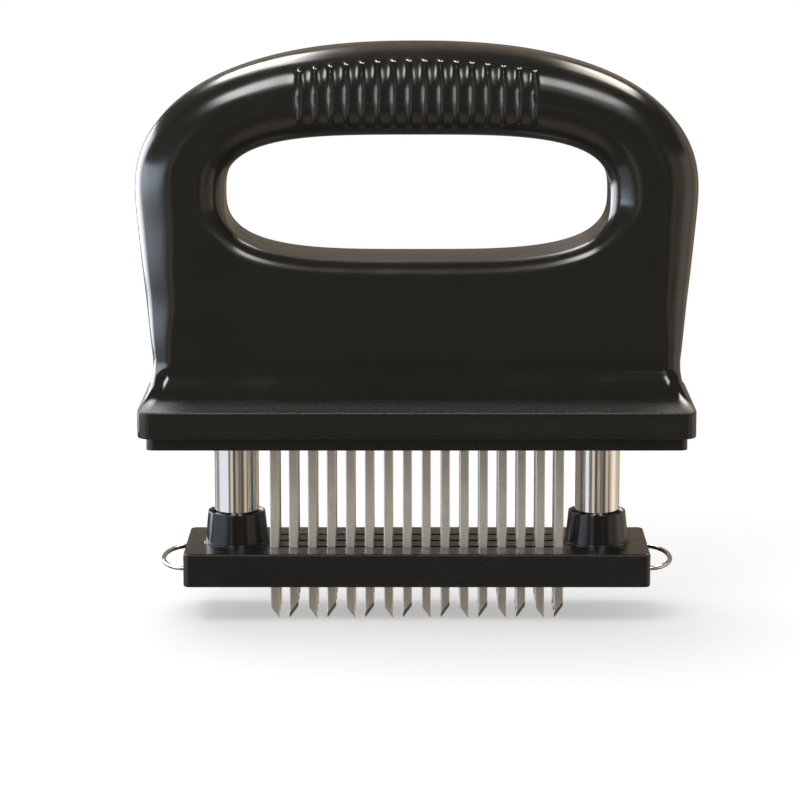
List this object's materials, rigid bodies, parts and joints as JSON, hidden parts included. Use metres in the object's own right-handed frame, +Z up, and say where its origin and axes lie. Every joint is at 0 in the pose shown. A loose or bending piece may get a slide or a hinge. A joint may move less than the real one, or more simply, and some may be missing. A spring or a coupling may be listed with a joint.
{
  "type": "meat tenderizer",
  "caption": "Handheld meat tenderizer with an arched grip over rows of flat blades and a sprung, slotted guard plate that slides on posts.",
  "frame": {"origin": "under the middle of the blade rows, level with the blade tips, with the guard plate part way up its travel", "axes": "+Z up along the posts, from the tips to the grip; +X along the blade rows; +Y from the front to the back"},
  "size_m": [0.148, 0.048, 0.1534],
  "materials": {
    "handle_plastic": "satin black moulded plastic with a fine grain",
    "carrier_plastic": "satin black moulded plastic",
    "guard_plastic": "satin black moulded plastic",
    "post_chrome": "polished chrome",
    "blade_steel": "satin flat faces with bright ground edges",
    "clip_wire": "bright drawn wire",
    "spring_steel": "bright spring steel",
    "screw_steel": "zinc plated steel",
    "plate_steel": "stamped steel",
    "washer_nylon": "natural nylon"
  },
  "bodies": {
    "handle": {"handle_front_shell": "handle_plastic", "handle_rear_shell": "handle_plastic", "handle_screws": "screw_steel", "blade_carrier": "carrier_plastic", "carrier_screws": "screw_steel", "blade_clamp_plate": "plate_steel", "clamp_screws": "screw_steel", "blade_row_front": "blade_steel", "blade_row_middle": "blade_steel", "blade_row_rear": "blade_steel", "stop_washer_left": "washer_nylon", "stop_washer_right": "washer_nylon", "spring_left": "spring_steel", "spring_right": "spring_steel"},
    "guard": {"guard_plate": "guard_plastic", "post_left": "post_chrome", "post_right": "post_chrome", "retaining_ring_left": "spring_steel", "retaining_ring_right": "spring_steel"},
    "clip_left": {"clip_left": "clip_wire"},
    "clip_right": {"clip_right": "clip_wire"}
  },
  "joints": [
    {"name": "guard_slide", "type": "slide", "parent": "handle", "child": "guard", "axis": [0, 0, 1], "range_m": [-0.012, 0.0198], "stiffness_N_per_m": 400, "springref_m": -0.022, "deforming": ["spring_left", "spring_right"]},
    {"name": "clip_left_pull", "type": "slide", "parent": "guard", "child": "clip_left", "axis": [-1, 0, 0], "range_m": [0, 0.025]},
    {"name": "clip_right_pull", "type": "slide", "parent": "guard", "child": "clip_right", "axis": [1, 0, 0], "range_m": [0, 0.025]}
  ]
}
